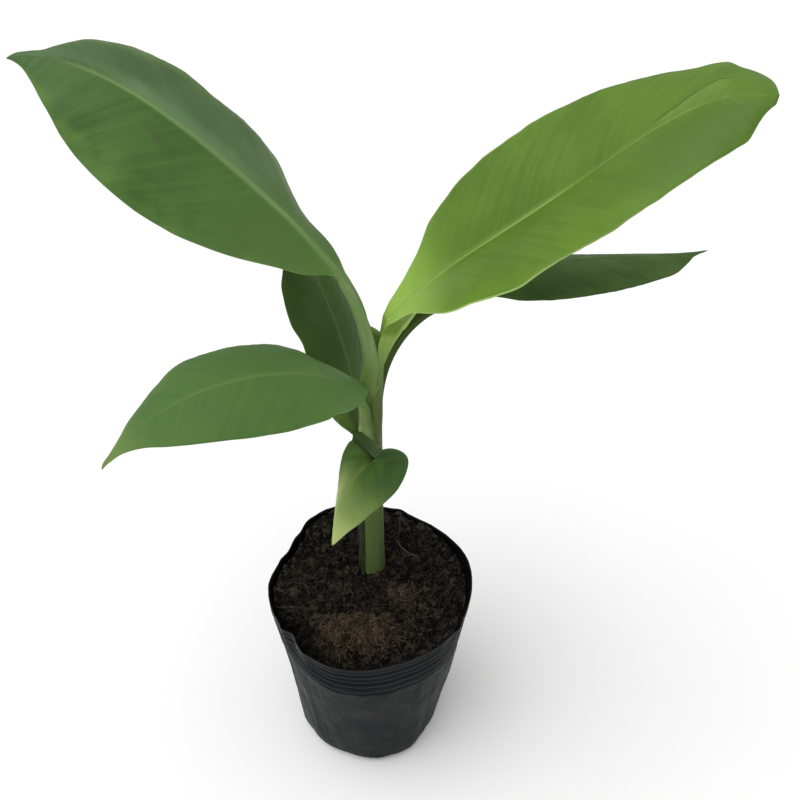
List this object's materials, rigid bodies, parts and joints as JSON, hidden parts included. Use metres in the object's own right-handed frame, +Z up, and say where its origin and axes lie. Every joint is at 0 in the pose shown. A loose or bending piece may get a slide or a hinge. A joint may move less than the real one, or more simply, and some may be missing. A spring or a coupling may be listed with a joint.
{
  "type": "potted banana sapling",
  "caption": "Young banana plant with a short upright stem and broad arching leaves, rooted in dark soil in a soft black nursery pot that stands on its flat base.",
  "frame": {"origin": "centre of the pot's flat underside", "axes": "+Z up along the pot's axis, +X to the right and +Y to the back in the front view"},
  "size_m": [0.332, 0.1497, 0.4085],
  "materials": {
    "pot": "satin black soft plastic film",
    "soil": "dark moist potting mix with coir fibre",
    "stem": "smooth green sheath",
    "petiole": "smooth green leaf stalk",
    "leaf_bright": "soft sheen, yellow-green",
    "leaf_mid": "soft sheen, mid green",
    "leaf_dark": "soft sheen, dark green",
    "leaf_old": "soft sheen, green turning yellow"
  },
  "bodies": {
    "root": {"pot": "pot", "soil": "soil", "pseudostem": "stem", "upper_left_petiole": "petiole", "upper_left_blade": "leaf_mid", "upper_right_petiole": "petiole", "upper_right_blade": "leaf_bright", "back_right_petiole": "petiole", "back_right_blade": "leaf_dark", "back_left_petiole": "petiole", "back_left_blade": "leaf_dark", "front_left_petiole": "petiole", "front_left_blade": "leaf_mid", "front_small_petiole": "petiole", "front_small_blade": "leaf_old"}
  },
  "joints": []
}
